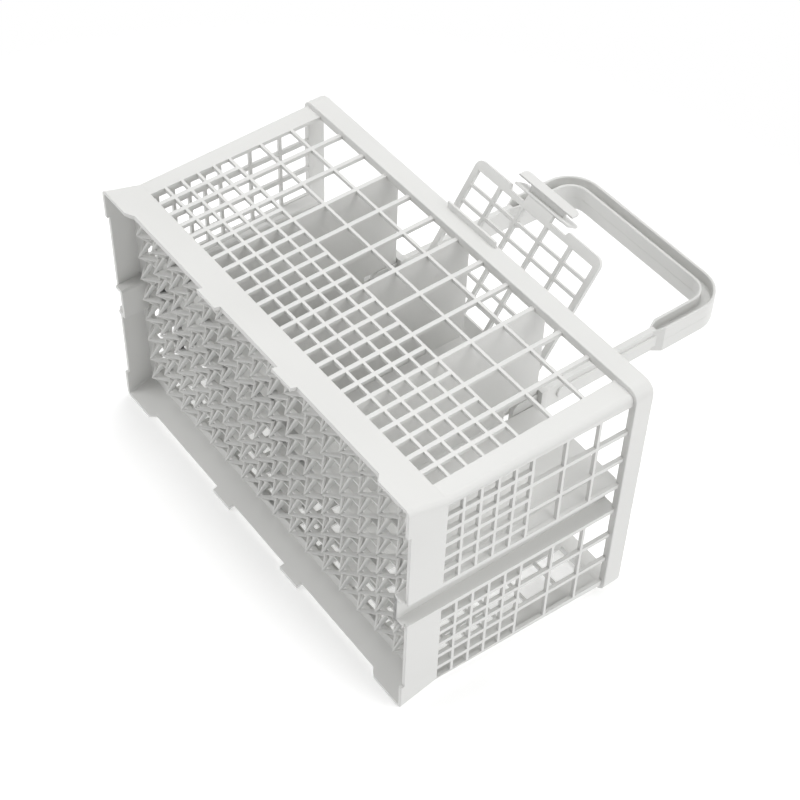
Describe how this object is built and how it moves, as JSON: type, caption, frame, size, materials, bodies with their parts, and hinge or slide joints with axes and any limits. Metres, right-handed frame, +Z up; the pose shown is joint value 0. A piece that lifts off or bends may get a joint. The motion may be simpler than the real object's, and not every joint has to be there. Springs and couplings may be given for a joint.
{
  "type": "dishwasher cutlery basket",
  "caption": "Rectangular open-grid cutlery basket with divided compartments, a zigzag mesh base, a hinged grid lid and an upright loop handle.",
  "frame": {"origin": "centre of the base, on the surface the feet stand on", "axes": "+X along the basket's length, +Y from the lid's latch side to the back, +Z up out of the mouth"},
  "size_m": [0.2382, 0.1366, 0.2376],
  "materials": {
    "grey_plastic": "satin"
  },
  "bodies": {
    "basket": {"basket_body": "grey_plastic", "handle": "grey_plastic"},
    "lid": {"lid": "grey_plastic"}
  },
  "joints": [
    {"name": "lid_hinge", "type": "hinge", "parent": "basket", "child": "lid", "pos_m": [0, 0, 0.1237], "axis": [-1, 0, 0], "range_deg": [-33, 147]}
  ]
}
